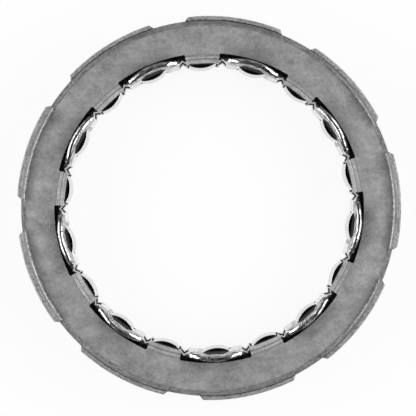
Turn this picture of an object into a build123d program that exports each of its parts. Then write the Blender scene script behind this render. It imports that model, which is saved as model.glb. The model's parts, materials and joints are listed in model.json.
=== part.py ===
from build123d import *

import math
import os

# Sprag clutch, in millimetres. Z is the clutch axis, the origin is the middle of the rear face, and the
# side with the polished clips faces +Z. The sprags grip a plain shaft, the inner race, which isn't part
# of the clutch.

# ---- races -----------------------------------------------------------------------------------------
journal_radius = 40.0           # the shaft that the sprags grip
sprag_space = 10.0              # from the shaft to the bore of the outer race
race_wall = 3.4                 # from the bore to the plain outside between the lugs
race_length = 18.0

# ---- drive lugs on the outer race ------------------------------------------------------------------
lug_height = 1.1                # above the race's plain outside
lug_crown = 1.2                 # how far the lugs stand past the front face
lug_root_angle = 30.0           # degrees round the race, at the foot of the flanks
lug_tip_angle = 28.0            # degrees round the race, at the top of the flanks
lug_bevel = 0.25
ramp_land = 0.3                 # flat rim between the plate's seat and the ramp behind each crown

# ---- end plates ------------------------------------------------------------------------------------
plate_thickness = 1.2
plate_seat_step = 2.0           # the plates' counterbores are this much larger than the bore
plate_fit = 0.02                # radial clearance of a plate in its counterbore
rear_plate_recess = 0.2         # the rear plate sits this far inside the rear face
notch_rise = 0.15               # from the inner cage to the bottom of the wide notches
notch_corner = 0.4
tab_angle = 12.9                # degrees round the plate, across one tab
tab_tip_rise = 1.2              # from the shaft to the tip of a tab
tab_bend_start = 0.75           # from the bottom of the notches in to the joggle of a tab
tab_bend_run = 0.35             # the joggle's own length along the tab
tab_set_down = 0.5

# ---- how many, and where round the axis ------------------------------------------------------------
tab_count = 9
sprags_per_tab = 2
first_angle = 90.0              # degrees from +X, of the first tab and the first sprag
lug_lead = -10.3                # from a tab's middle to the middle of a lug

# ---- sprags ----------------------------------------------------------------------------------------
pivot_depth = 2.4               # from the outer race in to the line that the sprags rock about
inner_cam_radius = 7.6          # the face that grips the shaft
inner_cam_offset = 0.45         # of the cam's centre from the sprag's middle line
inner_bite = 0.07               # how far the free sprags reach inside the shaft's surface
outer_cam_radius = 6.5          # the face that runs on the outer race
outer_cam_offset = 0.3
outer_play = 0.08               # left between the free sprags and the outer race
foot_half_width = 3.9           # of the end that grips the shaft
foot_side = 0.4                 # height of the foot's upright side
ankle_half_width = 3.0          # just above the foot
ankle_rise = 2.35               # from the shaft
waist_half_width = 2.35
shoulder_half_width = 3.0       # of the end on the outer race
shoulder_depth = 1.5            # from the outer race

# ---- cages -----------------------------------------------------------------------------------------
inner_cage_rise = 3.0           # from the shaft to the inner cage
inner_cage_wall = 0.9
inner_cage_rail = 0.65          # between the windows and the ends of the inner cage
outer_cage_wall = 0.8
outer_cage_drop = 1.0           # from the sprags' pivot in to the outer cage's bore
cage_end_play = 0.2             # between the inner cage and the tabs, at each end
window_end_play = 0.15          # between a sprag's end and the end of its window
inner_window_play = 0.45        # beside a sprag's ankle
outer_window_play = 0.25        # beside a sprag's shoulder

# ---- ribbon spring ---------------------------------------------------------------------------------
ribbon_thickness = 0.35
ribbon_rise = 1.1               # from the shaft to the ribbon between the sprags
ribbon_arch_height = 0.7        # how far the ribbon's rails arch out past each sprag's foot
ribbon_window_play = 0.5        # beside a sprag's foot
fold_lead = 7.8                 # degrees from a tab's middle to a fold
fold_half_angle = 1.8           # from a fold's tip to the foot of its leg
fold_tip_gap = 0.25             # between a fold's tip and the inner cage
ear_lead = -6.3                 # degrees from a notch's middle to an ear
ear_angle = 1.5                 # degrees across an ear
ear_reach = 1.0                 # how far an ear stands in from the ribbon

# ---- clips -----------------------------------------------------------------------------------------
clip_half_angle = 9.3           # from a clip's middle to the middle of its rounded end
clip_half_width = 1.05
clip_bow = 0.55                 # a clip's middle stands this much further out than its ends
clip_play = 0.1                 # between a clip and the bottom of its notch
clip_height = 2.25              # above the cage
clip_bevel = 0.5                # round the top
clip_ramp = 2.4                 # from a ramp's top to the middle of the clip's rounded end
clip_ramp_slope = 25            # degrees
clip_leg_width = 1.1
clip_leg_thickness = 0.35
clip_leg_depth = 2.4
clip_leg_play = 0.05            # between a leg and its slot in the cage

# ---- what follows from the sizes above -------------------------------------------------------------
track_radius = journal_radius + sprag_space
rim_radius = track_radius + race_wall
lug_radius = rim_radius + lug_height
lug_top = race_length + lug_crown
plate_seat_radius = track_radius + plate_seat_step
plate_radius = plate_seat_radius - plate_fit
front_seat = race_length - plate_thickness
rear_seat = rear_plate_recess + plate_thickness
middle = (front_seat + rear_seat) / 2
inner_cage_half = (front_seat - rear_seat) / 2 - tab_set_down - cage_end_play
window_half = inner_cage_half - inner_cage_rail
sprag_length = 2 * (window_half - window_end_play)
cage_rim = middle + inner_cage_half
pivot_radius = track_radius - pivot_depth
outer_cage_inner = pivot_radius - outer_cage_drop
outer_cage_outer = outer_cage_inner + outer_cage_wall
inner_cage_inner = journal_radius + inner_cage_rise
inner_cage_outer = inner_cage_inner + inner_cage_wall
notch_radius = inner_cage_outer + notch_rise
tab_tip_radius = journal_radius + tab_tip_rise
ribbon_inner = journal_radius + ribbon_rise
ribbon_outer = ribbon_inner + ribbon_thickness
ribbon_middle = ribbon_inner + ribbon_thickness / 2
clip_middle = notch_radius - clip_play - clip_half_width
sprag_count = tab_count * sprags_per_tab
tab_pitch = 360 / tab_count
tab_angles = [first_angle + tab_pitch * i for i in range(tab_count)]
notch_angles = [angle + tab_pitch / 2 for angle in tab_angles]
lug_angles = [angle + lug_lead for angle in tab_angles]
sprag_angles = [first_angle + 360 / sprag_count * i for i in range(sprag_count)]
fold_angles = [angle + side * fold_lead for angle in tab_angles for side in (-1, 1)]
ear_angles = [angle + ear_lead for angle in notch_angles]
leg_angles = [angle + side * clip_half_angle for angle in notch_angles for side in (-1, 1)]


def polar(radius, degrees):
    """The point at this radius and angle, where the angle is counted from the +Y direction."""
    turn = math.radians(degrees)
    return (-radius * math.sin(turn), radius * math.cos(turn))


def ring(inner, outer, low, high):
    """A plain ring about the clutch axis."""
    face = Circle(outer) - Circle(inner)
    return Pos(0, 0, low) * extrude(face, high - low)


def turned_profile(corners, degrees=360):
    """A profile of (radius, height) corners, turned about Z through an angle centred on +Y."""
    profile = make_face(Polyline(*corners, close=True))
    return Rot(0, 0, 90 - degrees / 2) * revolve(Plane.XZ * profile, Axis.Z, degrees)


def all_round(shape, angles):
    """Copies of a piece drawn on the +Y side, one at each angle from +X."""
    return [Rot(0, 0, angle - 90) * shape for angle in angles]


def band(inner, outer, inner_half, outer_half):
    """A curved strip on the +Y side, with its own half angle in degrees at each radius."""
    edges = [
        ThreePointArc(polar(inner, -inner_half), (0, inner), polar(inner, inner_half)),
        Line(polar(inner, inner_half), polar(outer, outer_half)),
        ThreePointArc(polar(outer, outer_half), (0, outer), polar(outer, -outer_half)),
        Line(polar(outer, -outer_half), polar(inner, -inner_half)),
    ]
    return make_face(edges)


def window(half_width, inner, outer):
    """A block on the +Y side that cuts one sprag window through a ring between two radii."""
    block = Box(2 * half_width, outer - inner, 2 * window_half)
    return Pos(0, (inner + outer) / 2, middle) * block


# ---- outer race ------------------------------------------------------------------------------------
def race_ring():
    corners = [
        (plate_seat_radius, 0),
        (rim_radius, 0),
        (rim_radius, race_length),
        (plate_seat_radius, race_length),
        (plate_seat_radius, front_seat),
        (track_radius, front_seat),
        (track_radius, rear_seat),
        (plate_seat_radius, rear_seat),
    ]
    return turned_profile(corners)


def drive_lug():
    """One lug on the +Y side, as long as the race. Its crown stands past the front face, and a ramp
    runs from the crown down to the rim."""
    foot = plate_seat_radius + ramp_land
    corners = [
        (foot, 0),
        (lug_radius, 0),
        (lug_radius, lug_top - lug_bevel),
        (lug_radius - lug_bevel, lug_top),
        (rim_radius, lug_top),
        (foot, race_length),
    ]
    body = turned_profile(corners, lug_root_angle)
    root = band(foot / 2, rim_radius, lug_root_angle / 2, lug_root_angle / 2)
    flanks = band(rim_radius, lug_radius, lug_root_angle / 2, lug_tip_angle / 2)
    return body & extrude(root + flanks, lug_top)


def outer_race():
    return race_ring() + all_round(drive_lug(), lug_angles)


# ---- end plates ------------------------------------------------------------------------------------
def plate_tab():
    """One joggled tab on the +Y side, with the plate's outer face at z = plate_thickness."""
    low = -tab_set_down
    root = notch_radius + plate_thickness
    bend_outer = notch_radius - tab_bend_start
    bend_inner = bend_outer - tab_bend_run
    corners = [
        (root, 0),
        (bend_outer, 0),
        (bend_inner, low),
        (tab_tip_radius, low),
        (tab_tip_radius, low + plate_thickness),
        (bend_inner, low + plate_thickness),
        (bend_outer, plate_thickness),
        (root, plate_thickness),
    ]
    side = make_face(Polyline(*corners, close=True))
    strip = extrude(Plane.YZ * side, root * math.sin(math.radians(tab_angle)), both=True)
    wedge = band(tab_tip_radius / 2, track_radius, tab_angle / 2, tab_angle / 2)
    return strip & Pos(0, 0, -plate_thickness) * extrude(wedge, 3 * plate_thickness)


def end_plate():
    """The stamping with its flat inner face at z = 0 and its outer face up."""
    plate = ring(notch_radius, plate_radius, 0, plate_thickness)
    plate += all_round(plate_tab(), tab_angles)

    def in_notch_corner(edge):
        point = edge.center()
        return abs(math.hypot(point.X, point.Y) - notch_radius) < notch_corner / 2

    return fillet(plate.edges().filter_by(Axis.Z).filter_by(in_notch_corner), notch_corner)


def front_plate():
    return Pos(0, 0, front_seat) * end_plate()


def rear_plate():
    return Pos(0, 0, rear_seat) * mirror(end_plate(), Plane.XY)


# ---- cages -----------------------------------------------------------------------------------------
def inner_cage():
    """The ring that turns with the sprags' feet, with an open slot for each leg of the clips."""
    cage = ring(inner_cage_inner, inner_cage_outer, middle - inner_cage_half, cage_rim)
    half = ankle_half_width + inner_window_play
    cut = window(half, inner_cage_inner - inner_cage_wall, inner_cage_outer + inner_cage_wall)
    cage -= all_round(cut, sprag_angles)
    slot = Box(clip_leg_width + 2 * clip_leg_play, 3 * inner_cage_wall, 2 * clip_leg_depth)
    slot = Pos(0, (inner_cage_inner + inner_cage_outer) / 2, cage_rim) * slot
    return cage - all_round(slot, leg_angles)


def outer_cage():
    """The ring between the two plates, whose windows the sprags rock in."""
    cage = ring(outer_cage_inner, outer_cage_outer, rear_seat, front_seat)
    half = shoulder_half_width + outer_window_play
    cut = window(half, outer_cage_inner - outer_cage_wall, outer_cage_outer + outer_cage_wall)
    return cage - all_round(cut, sprag_angles)


# ---- ribbon spring ---------------------------------------------------------------------------------
def ribbon_fold():
    """Plan of one sharp fold on the +Y side: two legs that meet in a tip near the inner cage."""
    tip = inner_cage_inner - fold_tip_gap
    foot = ribbon_middle * math.sin(math.radians(fold_half_angle))
    slope = math.atan2(tip - ribbon_middle, foot)
    across = ribbon_thickness / 2 / math.sin(slope)
    drop = ribbon_thickness / 2 / math.cos(slope)
    right = [
        (0, tip),
        (foot + across, ribbon_middle),
        (foot + across, ribbon_inner),
        (foot - across, ribbon_inner),
        (foot - across, ribbon_middle),
        (0, tip - 2 * drop),
    ]
    left = [(-x, y) for x, y in right[-2:0:-1]]
    return make_face(Polyline(*right, *left, close=True))


def ribbon_arch(arch_angle):
    """Plan of the strip's flat-topped arch over a sprag on the +Y side."""
    top = ribbon_arch_height
    rise = [(-arch_angle, 0), (-arch_angle / 2, top), (arch_angle / 2, top), (arch_angle, 0)]
    inside = [polar(ribbon_inner + lift, angle) for angle, lift in rise]
    outside = [polar(ribbon_outer + lift, angle) for angle, lift in reversed(rise)]
    return make_face(Polyline(*inside, *outside, close=True))


def ribbon_spring():
    """The corrugated strip that holds the sprags' feet and turns them towards the shaft."""
    window_width = foot_half_width + ribbon_window_play
    arch_angle = math.degrees(math.asin(window_width / ribbon_inner))
    clear = ribbon_thickness
    strip = Circle(ribbon_outer) - Circle(ribbon_inner)
    fold_room = band(ribbon_inner - clear, ribbon_outer + clear, fold_half_angle, fold_half_angle)
    arch_room = band(ribbon_inner - clear, ribbon_outer + clear, arch_angle, arch_angle)
    strip -= all_round(fold_room, fold_angles) + all_round(arch_room, sprag_angles)
    strip += all_round(ribbon_fold(), fold_angles) + all_round(ribbon_arch(arch_angle), sprag_angles)
    ribbon = Pos(0, 0, middle - inner_cage_half) * extrude(strip, 2 * inner_cage_half)
    cut = window(window_width, ribbon_inner - clear, inner_cage_inner)
    ear = band(ribbon_inner - ear_reach, ribbon_middle, ear_angle / 2, ear_angle / 2)
    ear = Pos(0, 0, cage_rim - ribbon_thickness) * extrude(ear, ribbon_thickness)
    return ribbon - all_round(cut, sprag_angles) + all_round(ear, ear_angles)


# ---- clips -----------------------------------------------------------------------------------------
def cage_clip():
    """A bar in two straight halves that meet in a blunt bend, with eight-sided ends, a bevelled top and
    a ramp down to each end. It stands on the inner cage by two legs in the cage's slots."""
    w = clip_half_width
    end_x, end_y = polar(clip_middle - clip_bow, -clip_half_angle)
    fall = clip_middle - end_y
    reach = math.hypot(end_x, fall)
    bend = math.degrees(math.atan2(fall, end_x))
    plan = Pos((reach - w) / 2, 0) * Rectangle(reach + w, 2 * w)
    plan += Pos(reach, 0) * RegularPolygon(w, 8, major_radius=False, rotation=22.5)
    plan = Pos(0, clip_middle) * Rot(0, 0, -bend) * plan
    plan -= Pos(-2 * w, clip_middle) * Rectangle(4 * w, 4 * w)
    bar = extrude(plan + mirror(plan, Plane.YZ), clip_height)
    bar = chamfer(bar.faces().sort_by(Axis.Z)[-1].edges(), clip_bevel)
    tip_height = clip_height - (clip_ramp + w) * math.tan(math.radians(clip_ramp_slope))
    corners = [(end_x - clip_ramp, clip_height), (end_x + w, clip_height), (end_x + w, tip_height)]
    ramp = extrude(Plane.XZ * make_face(Polyline(*corners, close=True)), 2 * clip_middle, both=True)
    leg_top = tip_height / 2
    leg = Box(clip_leg_width, clip_leg_thickness, leg_top + clip_leg_depth)
    leg = Pos(0, inner_cage_inner + clip_leg_play + clip_leg_thickness / 2) * leg
    leg = Rot(0, 0, -clip_half_angle) * Pos(0, 0, (leg_top - clip_leg_depth) / 2) * leg
    clip = bar - ramp - mirror(ramp, Plane.YZ) + leg + mirror(leg, Plane.YZ)
    return Pos(0, 0, cage_rim) * clip


# ---- sprags ----------------------------------------------------------------------------------------
def sprag_profile():
    """The section of one sprag on the +Y side, free, with its foot towards the axis."""
    tip = journal_radius - inner_bite
    inner_centre = (-inner_cam_offset, math.sqrt((tip + inner_cam_radius) ** 2 - inner_cam_offset**2))
    top = track_radius - outer_play
    outer_centre = (outer_cam_offset, math.sqrt((top - outer_cam_radius) ** 2 - outer_cam_offset**2))

    def on_inner(x):
        return (x, inner_centre[1] - math.sqrt(inner_cam_radius**2 - (x - inner_centre[0]) ** 2))

    def on_outer(x):
        return (x, outer_centre[1] + math.sqrt(outer_cam_radius**2 - (x - outer_centre[0]) ** 2))

    def flank(s):
        """One flank, from the inner face up to the outer face, on the side that s is the sign of."""
        foot = on_inner(s * foot_half_width)
        toe = (foot[0], foot[1] + foot_side)
        ankle = (s * ankle_half_width, journal_radius + ankle_rise)
        shoulder = (s * shoulder_half_width, track_radius - shoulder_depth)
        waist = (s * waist_half_width, (ankle[1] + shoulder[1]) / 2)
        return [Polyline(foot, toe, ankle, waist, shoulder, on_outer(shoulder[0]))]

    faces = [
        ThreePointArc(on_inner(-foot_half_width), on_inner(0), on_inner(foot_half_width)),
        ThreePointArc(on_outer(-shoulder_half_width), on_outer(0), on_outer(shoulder_half_width)),
    ]
    return make_face(faces + flank(1) + flank(-1))


def sprag():
    return Pos(0, 0, middle - sprag_length / 2) * extrude(sprag_profile(), sprag_length)


# ---- the whole clutch ------------------------------------------------------------------------------
def pieces():
    """Every separate piece, by name."""
    found = {
        "outer_race": outer_race(),
        "front_plate": front_plate(),
        "rear_plate": rear_plate(),
        "outer_cage": outer_cage(),
        "inner_cage": inner_cage(),
        "ribbon_spring": ribbon_spring(),
    }
    for number, clip in enumerate(all_round(cage_clip(), notch_angles), 1):
        found[f"cage_clip_{number:02d}"] = clip
    for number, strut in enumerate(all_round(sprag(), sprag_angles), 1):
        found[f"sprag_{number:02d}"] = strut
    return found


os.makedirs("parts", exist_ok=True)
for name, piece in pieces().items():
    export_step(piece, f"parts/{name}.step")
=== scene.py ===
import json
import math

import bpy
from mathutils import Matrix, Vector

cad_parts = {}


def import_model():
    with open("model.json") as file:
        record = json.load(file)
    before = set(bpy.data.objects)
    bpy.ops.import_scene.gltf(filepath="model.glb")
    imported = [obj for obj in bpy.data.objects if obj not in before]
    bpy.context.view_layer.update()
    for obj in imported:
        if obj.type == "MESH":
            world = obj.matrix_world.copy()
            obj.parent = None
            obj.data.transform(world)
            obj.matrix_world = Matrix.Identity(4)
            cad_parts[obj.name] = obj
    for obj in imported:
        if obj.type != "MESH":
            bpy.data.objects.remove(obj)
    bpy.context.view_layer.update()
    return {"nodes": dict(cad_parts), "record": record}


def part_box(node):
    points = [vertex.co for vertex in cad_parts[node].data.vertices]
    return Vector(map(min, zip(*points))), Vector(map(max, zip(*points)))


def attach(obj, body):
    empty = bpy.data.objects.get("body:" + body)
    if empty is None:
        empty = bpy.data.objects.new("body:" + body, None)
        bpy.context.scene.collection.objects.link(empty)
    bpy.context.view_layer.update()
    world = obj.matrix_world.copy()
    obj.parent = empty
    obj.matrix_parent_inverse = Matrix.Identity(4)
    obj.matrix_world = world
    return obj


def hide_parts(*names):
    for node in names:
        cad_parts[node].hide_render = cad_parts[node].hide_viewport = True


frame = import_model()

# The looks of the sprag clutch. Everything is in metres, in the frame of the CAD model: Z is the clutch
# axis, and the side with the polished clips faces +Z.

nodes = frame["nodes"]
CLIPS = [name for name in sorted(nodes) if name.startswith("cage_clip")]
SPRAGS = [name for name in sorted(nodes) if name.startswith("sprag")]

crown_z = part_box("outer_race")[1].z         # the lugs' crowns
plate_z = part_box("front_plate")[1].z        # the front plate, level with the race between its lugs
rim_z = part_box("inner_cage")[1].z           # the inner cage's rim, which the clips stand on
plate_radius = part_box("front_plate")[1].y
cage_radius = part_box("inner_cage")[1].y     # the inner cage's outside, just inside the plate's notches

rim_radius = 0.0534                         # the race between its lugs
ramp_radius = 0.05265                       # the middle of the ramps from the lugs' crowns
tab_outer_line = 0.0435                     # the painted shade line where a tab's bend starts
tab_bend = 0.0433                           # inside it a tab is rubbed
tab_inner_line = 0.04243                    # the painted shade line where the bend ends
ribbon_radius = 0.04115                     # the ribbon's folds have painted shade outside it
sprag_streak_radius = 0.0408                # the sprags' ends are black inside it

pitch = 2 * math.pi / len(CLIPS)            # from one clip, tab or lug to the next
first_clip = math.pi / 2 + pitch / 2
first_lug = math.radians(79.7)
lug_half_angle = math.radians(14.6)
seam_lead = math.radians(-2.7)              # from a clip's middle to its seam


# ---- node trees ------------------------------------------------------------------------------------
class Tree:
    """A short way to write a node tree. A value may be a number, a colour or another node's output."""

    def __init__(self, owner):
        owner.use_nodes = True
        self.tree = owner.node_tree
        self.tree.nodes.clear()

    def add(self, kind, values=None, **settings):
        node = self.tree.nodes.new("ShaderNode" + kind)
        for name, value in settings.items():
            setattr(node, name, value)
        for name, value in (values or {}).items():
            self.put(node.inputs[name], value)
        return node

    def put(self, socket, value):
        if isinstance(value, bpy.types.NodeSocket):
            self.tree.links.new(value, socket)
        elif isinstance(value, bpy.types.Node):
            self.tree.links.new(value.outputs[0], socket)
        else:
            socket.default_value = value

    def math(self, operation, *values):
        node = self.tree.nodes.new("ShaderNodeMath")
        node.operation = operation
        for socket, value in zip(node.inputs, values):
            self.put(socket, value)
        return node.outputs[0]

    def position(self):
        return self.add("TexCoord").outputs["Object"]

    def split(self, vector):
        return self.add("SeparateXYZ", {"Vector": vector}).outputs

    def noise(self, scale, detail=3.0, roughness=0.55, where=None, stretch=None):
        """Noise in patches of about 1/scale metres, with stretch as its scale along each axis."""
        where = where or self.position()
        if stretch:
            where = self.add("Mapping", {"Vector": where, "Scale": stretch}).outputs[0]
        values = {"Vector": where, "Scale": scale, "Detail": detail, "Roughness": roughness}
        return self.add("TexNoise", values).outputs["Fac"]

    def span(self, value, low, high, to_low=0.0, to_high=1.0):
        """value's stretch from low to high, brought to the stretch from to_low to to_high."""
        values = {"Value": value, "From Min": low, "From Max": high, "To Min": to_low, "To Max": to_high}
        return self.add("MapRange", values, clamp=True).outputs["Result"]

    def grey(self, value):
        return self.add("CombineColor", {"Red": value, "Green": value, "Blue": value}).outputs[0]

    def bump(self, height, distance, normal=None):
        values = {"Height": height, "Distance": distance, "Strength": 1.0}
        if normal:
            values["Normal"] = normal
        return self.add("Bump", values).outputs[0]

    def round_edges(self, radius):
        return self.add("Bevel", {"Radius": radius}, samples=4).outputs[0]

    def metal(self, colour, roughness, normal=None, metallic=1.0):
        values = {"Base Color": colour, "Roughness": roughness, "Metallic": metallic}
        if normal:
            values["Normal"] = normal
        bsdf = self.add("BsdfPrincipled", values)
        self.add("OutputMaterial", {"Surface": bsdf})

    def mask(self, value, middle, reach, soft):
        """1 where value is within reach of middle, falling to 0 over soft."""
        away = self.math("ABSOLUTE", self.math("SUBTRACT", value, middle))
        return self.span(away, reach, reach + soft, 1.0, 0.0)

    def from_nearest(self, angle, first):
        """How far, in radians, an angle is from the nearest of the angles first, first + pitch and on."""
        turns = self.math("ADD", self.math("DIVIDE", self.math("SUBTRACT", angle, first), pitch), 0.5)
        return self.math("MULTIPLY", self.math("SUBTRACT", self.math("FRACT", turns), 0.5), pitch)

    def mix(self, factor, a, b):
        return self.add("Mix", {"Factor": factor, "A": a, "B": b}, data_type="FLOAT").outputs[0]

    def product(self, *values):
        made = values[0]
        for value in values[1:]:
            made = self.math("MULTIPLY", made, value)
        return made

    def total(self, *values):
        made = values[0]
        for value in values[1:]:
            made = self.math("ADD", made, value)
        return made

    def cylinder_coordinates(self):
        """The distance from the clutch axis, the angle round it in radians, and the height."""
        x, y, z = self.split(self.position())
        radius = self.math("SQRT", self.total(self.product(x, x), self.product(y, y)))
        return radius, self.math("ARCTAN2", y, x), z

    def facing_along_axis(self):
        """1 on faces square to the clutch axis, and 0 on those along it."""
        normal = self.add("TexCoord").outputs["Normal"]
        return self.math("ABSOLUTE", self.split(normal)[2])

    def fade(self, mask, darkest):
        """A factor of 1 where the mask is 0, down to darkest where it is 1."""
        return self.span(mask, 0.0, 1.0, 1.0, darkest)


def material(name):
    made = bpy.data.materials.new(name)
    return made, Tree(made)


def round_the_axis(tree, radius, angle, z, radial, tangential):
    """Coordinates for a noise that follows the ring. At scale 1 its patches are about 1/radial metres
    across the ring's circles and 1/tangential radians along them."""
    return tree.add("CombineXYZ", {
        "X": tree.math("MULTIPLY", radius, radial),
        "Y": tree.math("MULTIPLY", angle, tangential),
        "Z": tree.math("MULTIPLY", z, radial),
    }).outputs[0]


def side_lug(tree, angle):
    """1 at the angles of the lugs that lie to the left and right, and 0 elsewhere."""
    on_lug = tree.mask(tree.from_nearest(angle, first_lug), 0.0, lug_half_angle, 0.03)
    sideways = tree.span(tree.math("ABSOLUTE", tree.math("COSINE", angle)), 0.6, 0.85)
    return tree.product(on_lug, sideways)


# ---- materials -------------------------------------------------------------------------------------
def plate_steel():
    """Satin sheet with cloudy mottling, specks and drag marks. It has painted shade beside the clips near
    the notches, a painted shadow of the side lugs, a dark seam along its rim, and rubbed tabs with a
    painted shade line at each end of their bend."""
    notch_shade_half_angle = 0.1
    notch_shade_reach = 0.0042
    lug_shadow_reach = 0.0026
    made, tree = material("plate_steel_satin")
    clouds = tree.noise(170, 5, 0.62)
    specks = tree.noise(1300, 4, 0.7)
    drags = tree.noise(70, 4, 0.65, stretch=(1.0, 7.0, 1.0))
    radius, angle, z = tree.cylinder_coordinates()
    # painted shade: the plate is darker near the notches beside each clip
    beside_clip = tree.mask(tree.from_nearest(angle, first_clip), 0.0, notch_shade_half_angle, 0.14)
    near_notch = tree.span(radius, cage_radius, cage_radius + notch_shade_reach, 1.0, 0.0)
    painted_notch_shade = tree.fade(tree.product(near_notch, beside_clip), 0.5)
    lines = tree.noise(1.0, 3, 0.7, where=round_the_axis(tree, radius, angle, z, 3500, 30))
    tab = tree.span(radius, tab_bend, tab_bend + 0.0002, 1.0, 0.0)
    rubbed = tree.span(tree.product(tab, tree.total(lines, specks)), 0.0, 1.2, 1.0, 1.45)
    # painted shade: a dark line at each end of the tabs' bend
    outer_line = tree.mask(radius, tab_outer_line, 0.00008, 0.0002)
    outer_line = tree.product(outer_line, tree.span(clouds, 0.35, 0.6))
    inner_line = tree.mask(radius, tab_inner_line, 0.00012, 0.0002)
    bend = tree.product(tree.fade(outer_line, 0.55), tree.fade(inner_line, 0.5))
    seam = tree.span(radius, plate_radius - 0.00016, plate_radius - 0.00004, 1.0, 0.4)
    value = tree.total(
        tree.span(clouds, 0.3, 0.7, 0.28, 0.43),
        tree.span(specks, 0.3, 0.7, -0.08, 0.07),
        tree.span(drags, 0.35, 0.7, -0.03, 0.04),
    )
    # painted shadow of the side lugs' crowns on the plate's outer edge
    near_lug = tree.span(radius, plate_radius - lug_shadow_reach, plate_radius)
    painted_lug_shadow = tree.product(side_lug(tree, angle), near_lug)
    value = tree.product(value, painted_notch_shade, rubbed, seam, bend, tree.fade(painted_lug_shadow, 0.52))
    rough = tree.span(clouds, 0.3, 0.7, 0.42, 0.52)
    height = tree.total(
        tree.product(clouds, 0.6),
        tree.product(specks, 0.2),
        tree.product(tab, lines, 0.4),
    )
    height = tree.math("SUBTRACT", height, tree.product(inner_line, 1.5))
    normal = tree.bump(height, 0.00005, normal=tree.round_edges(0.00012))
    tree.metal(tree.grey(value), rough, normal, metallic=0.4)
    return made


def race_steel():
    """Turned steel with grooves round the axis and rough grain. A painted shade line, ragged, runs where
    the lugs' crowns meet the ramps, fainter on the side lugs, which get a painted highlight line at the
    ramps' feet."""
    crown_edge = rim_radius - 0.0001
    ramp_foot = plate_radius + 0.0006
    made, tree = material("race_steel_turned")
    radius, angle, z = tree.cylinder_coordinates()
    side = side_lug(tree, angle)
    grooves = tree.noise(1.0, 2, 0.6, where=round_the_axis(tree, radius, angle, z, 3000, 14))
    grain = tree.noise(1300, 4, 0.7)
    ragged = tree.math("ADD", radius, tree.span(grain, 0.3, 0.7, -0.00012, 0.00012))
    above_rim = tree.span(z, plate_z + 0.0002, plate_z + 0.0004)
    # painted shade: a dark ragged line where the crowns meet the ramps, fainter on the side lugs
    line = tree.mask(ragged, crown_edge, 0.00009, 0.00008)
    line = tree.product(line, above_rim, tree.fade(side, 0.3))
    # painted shade on the ramps
    ramp = tree.mask(radius, ramp_radius, 0.0005, 0.0001)
    # painted shadow of the side lugs' crowns on the land beside them
    land = tree.span(radius, plate_radius + 0.0003, plate_radius + 0.0005, 1.0, 0.0)
    painted_lug_shadow = tree.product(side, land)
    # painted highlight: a bright line at the feet of the side lugs' ramps
    painted_ramp_highlight = tree.product(side, tree.mask(ragged, ramp_foot, 0.00007, 0.0001))
    value = tree.total(
        tree.span(grooves, 0.35, 0.65, 0.3, 0.52),
        tree.span(grain, 0.3, 0.7, -0.14, 0.14),
    )
    value = tree.product(value, tree.fade(line, 0.12), tree.fade(ramp, 0.7), tree.fade(painted_lug_shadow, 0.7))
    value = tree.total(value, tree.product(painted_ramp_highlight, tree.span(grain, 0.4, 0.6, 0.15, 0.5)))
    rough = tree.span(grain, 0.3, 0.7, 0.34, 0.5)
    height = tree.total(grooves, tree.product(grain, 1.2))
    normal = tree.bump(height, 0.00004, normal=tree.round_edges(0.00018))
    tree.metal(tree.grey(value), rough, normal, metallic=0.6)
    return made


def cage_steel():
    """Black oxide, made near black also as painted shade where it shows in the plate's notches."""
    made, tree = material("cage_black_oxide_and_shade")
    patches = tree.noise(900, 3, 0.6)
    value = tree.span(patches, 0.3, 0.7, 0.008, 0.022)
    rough = tree.span(patches, 0.3, 0.7, 0.4, 0.6)
    tree.metal(tree.grey(value), rough, tree.bump(patches, 0.00002))
    return made


def clip_steel():
    """Polished spring steel with dark drawing lines and a rougher patch at the seam."""
    seam_half_angle = 0.026
    made, tree = material("clip_steel_polished")
    radius, angle, z = tree.cylinder_coordinates()
    fine = tree.noise(2000, 4, 0.7)
    lines = tree.noise(1.0, 3, 0.6, where=round_the_axis(tree, radius, angle, z, 1700, 14))
    seam = tree.mask(tree.from_nearest(angle, first_clip), seam_lead, seam_half_angle, 0.02)
    value = tree.span(lines, 0.4, 0.62, 0.16, 0.95)
    value = tree.mix(seam, value, tree.span(fine, 0.4, 0.6, 0.06, 0.95))
    rough = tree.total(tree.span(fine, 0.3, 0.7, 0.1, 0.16), tree.product(seam, 0.08))
    height = tree.total(tree.product(lines, 0.8), tree.product(seam, fine, 2.4))
    tree.metal(tree.grey(value), rough, tree.bump(height, 0.00002))
    return made


def ribbon_steel():
    """Bright strip, with painted shade inside its folds towards the front."""
    made, tree = material("ribbon_steel_bright")
    fine = tree.noise(3500, 3, 0.6)
    radius, _, z = tree.cylinder_coordinates()
    # painted shade: the folds' upright walls are near black towards the front
    upright = tree.span(tree.facing_along_axis(), 0.5, 0.6, 1.0, 0.0)
    in_fold = tree.span(radius, ribbon_radius, ribbon_radius + 0.00015)
    inside = tree.product(upright, in_fold, tree.span(z, 0.006, 0.009))
    value = tree.mix(inside, tree.span(fine, 0.3, 0.7, 0.78, 0.9), 0.006)
    rough = tree.mix(inside, tree.span(fine, 0.3, 0.7, 0.2, 0.32), 1.0)
    normal = tree.bump(fine, 0.00001, normal=tree.round_edges(0.00006))
    tree.metal(tree.grey(value), rough, normal, metallic=0.25)
    return made


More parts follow.
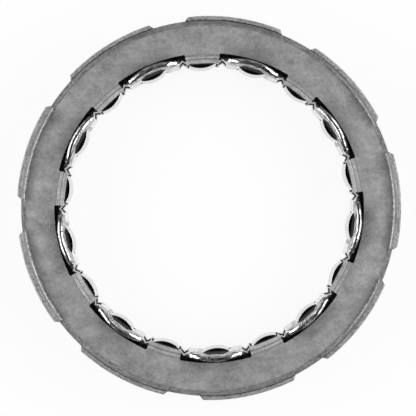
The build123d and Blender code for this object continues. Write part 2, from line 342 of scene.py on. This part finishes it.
def sprag_steel():
    """Polished where the sprag runs on the races, and near black on its ends, with streaks outside
    sprag_streak_radius.
    """
    made, tree = material("sprag_steel_formed")
    end = tree.span(tree.facing_along_axis(), 0.9, 0.97)
    radius, angle, z = tree.cylinder_coordinates()
    streaks = tree.noise(1.0, 3, 0.7, where=round_the_axis(tree, radius, angle, z, 600, 2200))
    outward = tree.span(radius, sprag_streak_radius, sprag_streak_radius + 0.0006)
    end_value = tree.total(0.005, tree.product(outward, tree.span(streaks, 0.35, 0.65, 0.03, 0.26)))
    fine = tree.noise(3000, 3, 0.6)
    value = tree.mix(end, tree.span(fine, 0.3, 0.7, 0.6, 0.75), end_value)
    rough = tree.mix(end, tree.span(fine, 0.3, 0.7, 0.14, 0.24), 0.5)
    tree.metal(tree.grey(value), rough, tree.bump(fine, 0.000006))
    return made


# ---- clips -----------------------------------------------------------------------------------------
clip_half_angle = math.radians(9.3)
clip_half_width = 0.001
clip_outside = cage_radius + 0.00005    # how far out a clip reaches at its middle
clip_bow = 0.00055
clip_soft_bend = 0.0035                 # from a clip's middle to where each half is straight
clip_side = 0.0012
clip_least_side = 0.0001
clip_droop = 0.0043                     # the length over which the top falls, more steeply to each end
clip_end_slope = math.radians(33)
dome_tip = 0.02                         # the share of its width that a domed end keeps at its tip
SECTION_STEPS = 24
HALF_STEPS = 26
DOME_STEPS = 10


def clip_spine():
    """Stations (x, y, half width, how far the top has fallen), from a clip's middle to its right end."""
    w = clip_half_width
    middle_r = clip_outside - w
    end_r = middle_r - clip_bow
    end_x = end_r * math.sin(clip_half_angle)
    end_y = end_r * math.cos(clip_half_angle)
    slope = (middle_r - end_y) / (end_x - clip_soft_bend / 2)
    steep = math.tan(clip_end_slope)
    stations = []
    for step in range(HALF_STEPS + 1):
        x = end_x * step / HALF_STEPS
        bent = min(x, clip_soft_bend)
        y = middle_r - slope * (bent * bent / (2 * clip_soft_bend) + x - bent)
        tilt = clip_end_slope * max(x - (end_x - clip_droop), 0.0) / clip_droop
        fall = -math.log(math.cos(tilt)) * clip_droop / clip_end_slope
        stations.append((x, y, w, fall))
    ahead = Vector((1, -slope)).normalized()
    last = stations[-1][3]
    for step in range(1, DOME_STEPS + 1):
        turn = math.pi / 2 * step / DOME_STEPS
        out = w * math.sin(turn)
        width = max(w * math.cos(turn), w * dome_tip)
        stations.append((end_x + ahead.x * out, end_y + ahead.y * out, width, last + steep * out * 0.5))
    return stations


def clip_mesh():
    """A bar with a half-round top, softly bent at its middle. Its top falls towards domed ends."""
    half = clip_spine()
    stations = [(-x, y, r, fall) for x, y, r, fall in reversed(half[1:])] + half
    verts = []
    for number, (x, y, r, fall) in enumerate(stations):
        before = stations[max(number - 1, 0)]
        after = stations[min(number + 1, len(stations) - 1)]
        along = Vector((after[0] - before[0], after[1] - before[1], 0)).normalized()
        across = Vector((-along.y, along.x, 0))
        side = max(clip_side - fall, clip_least_side)
        crown = clip_side + clip_half_width - fall - side
        row = [(-r, 0.0)]
        for step in range(SECTION_STEPS + 1):
            turn = math.pi * step / SECTION_STEPS
            row.append((-r * math.cos(turn), side + crown * r / clip_half_width * math.sin(turn)))
        row.append((r, 0.0))
        foot = Vector((x, y, 0))
        verts += [foot + across * offset + Vector((0, 0, height)) for offset, height in row]
    width = SECTION_STEPS + 3
    faces = []
    for row in range(len(stations) - 1):
        for column in range(width):
            a = row * width + column
            b = row * width + (column + 1) % width
            faces.append((a, b, b + width, a + width))
    faces.append(tuple(reversed(range(width))))
    last = (len(stations) - 1) * width
    faces.append(tuple(range(last, last + width)))
    mesh = bpy.data.meshes.new("clip")
    mesh.from_pydata([tuple(v) for v in verts], [], faces)
    mesh.polygons.foreach_set("use_smooth", [True] * len(mesh.polygons))
    mesh.update()
    return mesh


def clips():
    made = clip_steel()
    for number, name in enumerate(CLIPS):
        mesh = clip_mesh()
        angle = first_clip + pitch * number - math.pi / 2
        mesh.transform(Matrix.Translation((0, 0, rim_z)))
        mesh.transform(Matrix.Rotation(angle, 4, "Z"))
        mesh.materials.append(made)
        clip = bpy.data.objects.new(f"bright_clip_{number + 1:02d}", mesh)
        bpy.context.scene.collection.objects.link(clip)
        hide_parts(name)
        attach(clip, "inner_cage")


# ---- CAD nodes -------------------------------------------------------------------------------------
def round_over(node, width):
    """Rounds a CAD node's sharp edges with modifiers."""
    weld = node.modifiers.new("weld", "WELD")
    weld.merge_threshold = 0.000001
    bevel = node.modifiers.new("round", "BEVEL")
    bevel.width = width
    bevel.segments = 2
    bevel.limit_method = "ANGLE"
    bevel.angle_limit = math.radians(50)
    bevel.harden_normals = True


def dress_nodes():
    """Each CAD node that stays in sight keeps its mesh and gets the procedural material of its slot."""
    sprag_edge = 0.00022
    looks = {
        "race_steel": race_steel(),
        "plate_steel": plate_steel(),
        "cage_steel": cage_steel(),
        "sprag_steel": sprag_steel(),
        "spring_steel": ribbon_steel(),
    }
    slots = {part["node"]: part["material_slot"] for part in frame["record"]["subparts"]}
    for name, node in nodes.items():
        if slots[name] in looks:
            node.data.materials.clear()
            node.data.materials.append(looks[slots[name]])
    for name in SPRAGS:
        round_over(nodes[name], sprag_edge)


# ---- stage, lamps and camera -----------------------------------------------------------------------
def seen_rays(tree):
    """1 for the camera's rays and for what metal mirrors, 0 for the rest."""
    path = tree.add("LightPath").outputs
    mirrored = tree.math("MAXIMUM", path["Is Glossy Ray"], path["Is Transmission Ray"])
    return tree.math("MAXIMUM", path["Is Camera Ray"], mirrored)


def stage():
    """A pale floor that reads as white and keeps a soft shadow."""
    half = 1.5
    just_below = 0.00005
    glow_share = 0.9
    corners = [(-half, -half, 0), (half, -half, 0), (half, half, 0), (-half, half, 0)]
    mesh = bpy.data.meshes.new("floor")
    mesh.from_pydata(corners, [], [(0, 1, 2, 3)])
    floor = bpy.data.objects.new("floor", mesh)
    floor.location.z = -just_below
    bpy.context.scene.collection.objects.link(floor)
    made, tree = material("floor_pale")
    patches = tree.noise(6, 2, 0.5)
    paint = tree.add("BsdfDiffuse", {"Color": tree.grey(tree.span(patches, 0.3, 0.7, 0.93, 0.95))})
    glow = tree.add("Emission", {"Strength": 1.0})
    part = tree.math("MULTIPLY", seen_rays(tree), glow_share)
    mixed = tree.add("MixShader", {0: part, 1: paint.outputs[0], 2: glow.outputs[0]})
    tree.add("OutputMaterial", {"Surface": mixed})
    mesh.materials.append(made)


def world():
    """A room that is dim overhead and in front, paler at the sides and behind, and white where the
    camera sees it."""
    overhead_level = 0.12
    side_level = 1.3
    behind_level = 0.3
    horizon_level = 0.4
    seen_level = 1.0
    made = bpy.data.worlds.new("room")
    bpy.context.scene.world = made
    tree = Tree(made)
    x, y, z = tree.split(tree.add("TexCoord").outputs["Generated"])
    sides = tree.product(x, x, x, x, side_level)
    behind = tree.span(y, 0.0, 0.9, 0.0, behind_level)
    horizon = tree.span(z, 0.05, 0.35, horizon_level, 0.0)
    light = tree.total(overhead_level, sides, behind, horizon)
    path = tree.add("LightPath").outputs
    strength = tree.mix(path["Is Camera Ray"], light, seen_level)
    room = tree.add("Background", {"Strength": strength})
    tree.add("OutputWorld", {"Surface": room})


def lamp(name, azimuth, power):
    """A wide soft box that looks down at the clutch from an azimuth in degrees."""
    distance = 0.55
    elevation = 43
    size = (0.75, 0.28)
    data = bpy.data.lights.new(name, "AREA")
    data.shape = "ELLIPSE"
    data.size, data.size_y = size
    data.energy = power
    made = bpy.data.objects.new(name, data)
    a = math.radians(azimuth)
    e = math.radians(elevation)
    made.location = distance * Vector((math.cos(e) * math.cos(a), math.cos(e) * math.sin(a), math.sin(e)))
    made.rotation_euler = (-made.location).to_track_quat("-Z", "Y").to_euler()
    made.visible_camera = False
    bpy.context.scene.collection.objects.link(made)


def lamps():
    """Two soft boxes, the right one a little stronger."""
    lamp("softbox_right", 0, 2.1)
    lamp("softbox_left", 180, 1.75)


def camera():
    """Straight down the clutch axis. The frame is framed_width wide at the lugs' crowns."""
    distance = 0.56
    framed_width = 0.1179
    turn = math.radians(-2.55)
    shift = -0.0025
    data = bpy.data.cameras.new("camera")
    data.sensor_width = 36
    data.lens = data.sensor_width * distance / framed_width
    data.shift_x = shift
    made = bpy.data.objects.new("camera", data)
    made.location = (0, 0, crown_z + distance)
    made.rotation_euler = (0, 0, turn)
    bpy.context.scene.collection.objects.link(made)
    bpy.context.scene.camera = made


dress_nodes()
clips()
stage()
world()
lamps()
camera()
bpy.context.scene.view_settings.view_transform = "Standard"
